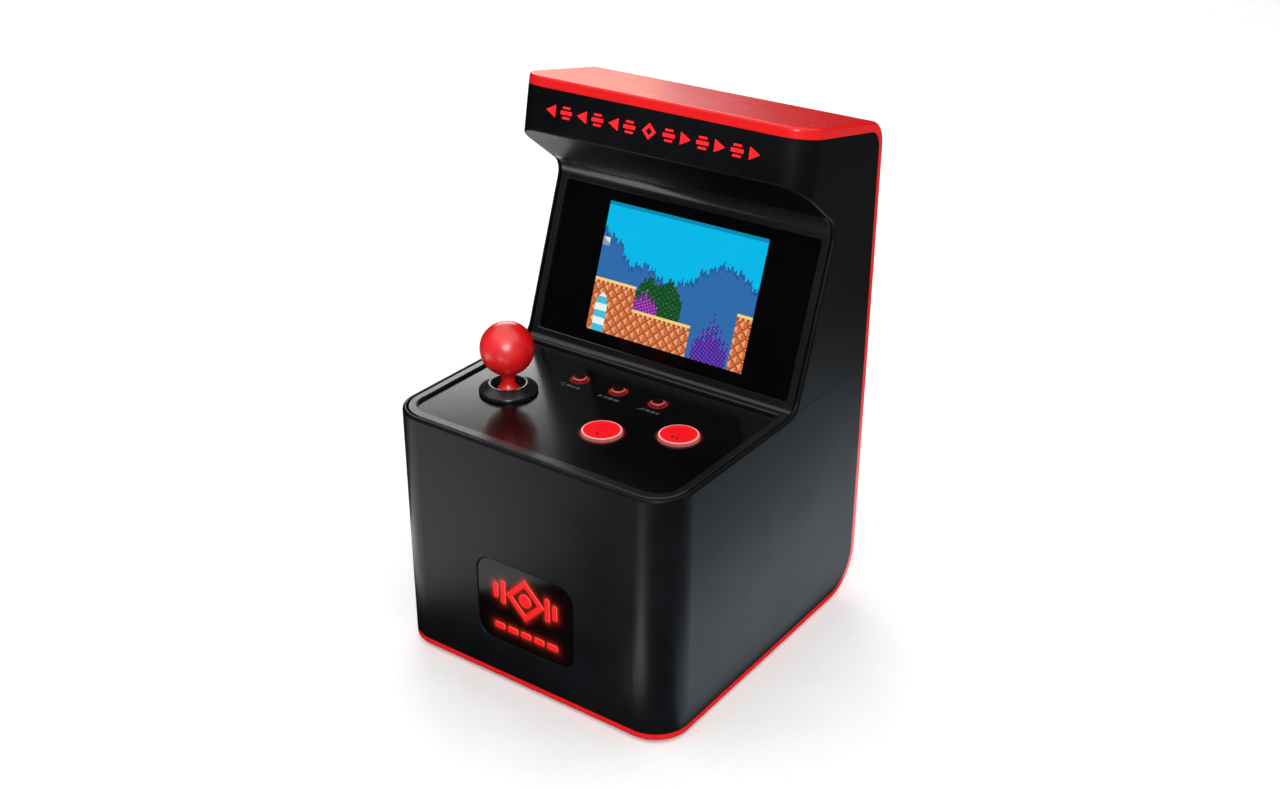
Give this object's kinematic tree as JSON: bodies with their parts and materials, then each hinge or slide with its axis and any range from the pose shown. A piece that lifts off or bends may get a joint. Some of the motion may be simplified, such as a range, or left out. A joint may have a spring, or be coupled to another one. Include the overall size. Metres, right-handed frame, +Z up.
{
  "type": "bartop arcade cabinet",
  "caption": "Hand-sized bartop arcade cabinet with a tilting ball-top stick, push buttons, a small colour display, black shells and a red wrap-round rear cover.",
  "frame": {"origin": "centre of the footprint, on the plane the rubber feet stand on", "axes": "+Z up, along the height; +X across the width, towards the player's right; -Y towards the player"},
  "size_m": [0.088, 0.0961, 0.1455],
  "materials": {
    "red_cover": "glossy moulded ABS, bright red",
    "shell_black": "satin moulded ABS, black",
    "frame_black": "fine satin moulded plastic, dark grey-black",
    "panel_gloss": "polished black acrylic",
    "stick_red": "polished red plastic",
    "button_red": "translucent red plastic, lit from below",
    "button_dark": "smoky red plastic",
    "mark_red": "red print",
    "clear_glass": "clear window",
    "display": "liquid crystal display",
    "steel": "zinc-plated steel",
    "board_green": "green solder mask",
    "chip_black": "black moulded plastic",
    "switch_grey": "pale grey plastic",
    "rubber": "soft rubber",
    "ribbon": "amber polyimide",
    "magnet": "plated ferrite and steel",
    "cell_wrap": "printed cell wrap"
  },
  "bodies": {
    "cabinet": {"badge_leds": "switch_grey", "badge_light_board": "board_green", "badge_mark": "mark_red", "badge_plate": "panel_gloss", "battery_cells": "cell_wrap", "battery_contacts": "steel", "battery_springs": "steel", "battery_tray": "frame_black", "bezel_plate": "panel_gloss", "board_screws": "steel", "button_domes": "rubber", "button_leds": "switch_grey", "button_membrane": "rubber", "case_screws": "steel", "deck_panel": "panel_gloss", "display_board": "board_green", "display_screws": "steel", "face_frame": "frame_black", "headphone_jack": "frame_black", "io_board": "board_green", "lcd_backlight": "display", "lcd_frame": "steel", "lcd_panel": "display", "lcd_ribbon": "ribbon", "lower_shell": "shell_black", "main_board": "board_green", "main_chips": "chip_black", "marquee_mark": "mark_red", "power_switch_body": "frame_black", "rear_cover": "red_cover", "rubber_feet": "rubber", "screen_lens": "clear_glass", "speaker_basket": "frame_black", "speaker_cone": "chip_black", "speaker_gasket": "rubber", "speaker_magnet": "magnet", "stick_collar": "panel_gloss", "stick_housing": "frame_black", "stick_switches": "switch_grey", "upper_shell": "shell_black", "usb_socket": "steel"},
    "stick": {"stick_ball": "stick_red", "stick_shaft": "stick_red", "stick_spring": "steel", "stick_actuator": "chip_black", "stick_dust_disc": "chip_black"},
    "gimbal": {"gimbal_ring": "chip_black"},
    "button_a": {"button_a": "button_red"},
    "button_b": {"button_b": "button_red"},
    "reset_button": {"reset_button": "button_dark"},
    "start_button": {"start_button": "button_dark"},
    "sound_button": {"sound_button": "button_dark"},
    "switch_knob": {"power_switch_knob": "frame_black"},
    "door": {"battery_door": "red_cover", "door_screw": "steel"}
  },
  "joints": [
    {"name": "stick_fore_aft", "type": "hinge", "parent": "cabinet", "child": "gimbal", "pos_m": [-0.0258, -0.0205, 0.0648], "axis": [1, 0, 0], "range_deg": [-9, 9], "stiffness_Nm_per_rad": 0.06},
    {"name": "stick_sideways", "type": "hinge", "parent": "gimbal", "child": "stick", "pos_m": [-0.0258, -0.0205, 0.0648], "axis": [0, 1, 0], "range_deg": [-9, 9], "stiffness_Nm_per_rad": 0.06},
    {"name": "button_a_press", "type": "slide", "parent": "cabinet", "child": "button_a", "axis": [0, 0, -1], "range_m": [0, 0.001], "stiffness_N_per_m": 400, "deforming": ["button_domes"]},
    {"name": "button_b_press", "type": "slide", "parent": "cabinet", "child": "button_b", "axis": [0, 0, -1], "range_m": [0, 0.001], "stiffness_N_per_m": 400, "deforming": ["button_domes"]},
    {"name": "reset_button_press", "type": "slide", "parent": "cabinet", "child": "reset_button", "axis": [0, 0, -1], "range_m": [0, 0.0007], "stiffness_N_per_m": 300, "deforming": ["button_domes"]},
    {"name": "start_button_press", "type": "slide", "parent": "cabinet", "child": "start_button", "axis": [0, 0, -1], "range_m": [0, 0.0007], "stiffness_N_per_m": 300, "deforming": ["button_domes"]},
    {"name": "sound_button_press", "type": "slide", "parent": "cabinet", "child": "sound_button", "axis": [0, 0, -1], "range_m": [0, 0.0007], "stiffness_N_per_m": 300, "deforming": ["button_domes"]},
    {"name": "power_slide", "type": "slide", "parent": "cabinet", "child": "switch_knob", "axis": [1, 0, 0], "range_m": [0, 0.003]},
    {"name": "battery_door_pull", "type": "slide", "parent": "cabinet", "child": "door", "axis": [0, 1, 0], "range_m": [0, 0.02]}
  ]
}
